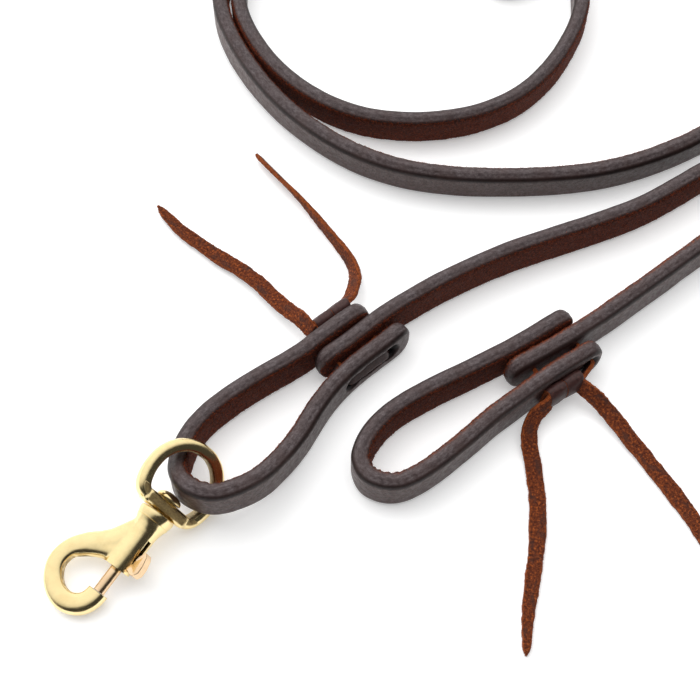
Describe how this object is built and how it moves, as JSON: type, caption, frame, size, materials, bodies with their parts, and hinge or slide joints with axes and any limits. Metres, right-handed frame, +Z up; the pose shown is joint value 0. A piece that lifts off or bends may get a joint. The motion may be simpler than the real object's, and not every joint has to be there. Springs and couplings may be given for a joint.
{
  "type": "training leash",
  "caption": "Heavy leather strap lead with a laced loop at each end and a swivelling brass bolt snap hung in one loop, lying on its edge in open curves.",
  "frame": {"origin": "centre of the whole leash's footprint, on the surface that it lies on", "axes": "+Z up from the surface, +X to the right and +Y away as it is laid, the snap at the near left"},
  "size_m": [0.2921, 0.3016, 0.0195],
  "materials": {
    "strap_leather": "dark brown harness leather, burnished satin edge, smooth grain face, suede flesh face",
    "lace_leather": "waxy brown lace, smooth grain side, fuzzy red-brown flesh side and edges",
    "cast_brass": "polished cast brass with softly tumbled edges",
    "bolt_brass": "polished, slightly redder turned brass",
    "spring_steel": "drawn wire"
  },
  "bodies": {
    "leather": {"main_strap": "strap_leather", "snap_loop_strap": "strap_leather", "free_loop_strap": "strap_leather", "snap_lace_stitch": "lace_leather", "free_lace_stitch": "lace_leather", "snap_lace_knot": "lace_leather", "free_lace_knot": "lace_leather", "snap_lace_tail_left": "lace_leather", "snap_lace_tail_right": "lace_leather", "free_lace_tail_left": "lace_leather", "free_lace_tail_right": "lace_leather"},
    "eye": {"swivel_eye": "cast_brass"},
    "snap": {"snap_body": "cast_brass", "swivel_post": "cast_brass", "bolt_spring": "spring_steel"},
    "bolt": {"snap_bolt": "bolt_brass", "thumb_lug": "bolt_brass"}
  },
  "joints": [
    {"name": "eye_swing", "type": "hinge", "parent": "leather", "child": "eye", "pos_m": [-0.1027, -0.1001, 0.01], "axis": [0, 0, 1], "range_deg": [-10, 10]},
    {"name": "swivel", "type": "hinge", "parent": "eye", "child": "snap", "pos_m": [-0.1262, -0.1277, 0.00525], "axis": [0.5796, 0.7977, 0.1668], "continuous": true},
    {"name": "bolt_slide", "type": "slide", "parent": "snap", "child": "bolt", "axis": [0.5796, 0.7977, 0.1668], "range_m": [0, 0.0074], "stiffness_N_per_m": 300, "springref_m": -0.004, "deforming": ["bolt_spring"]}
  ]
}
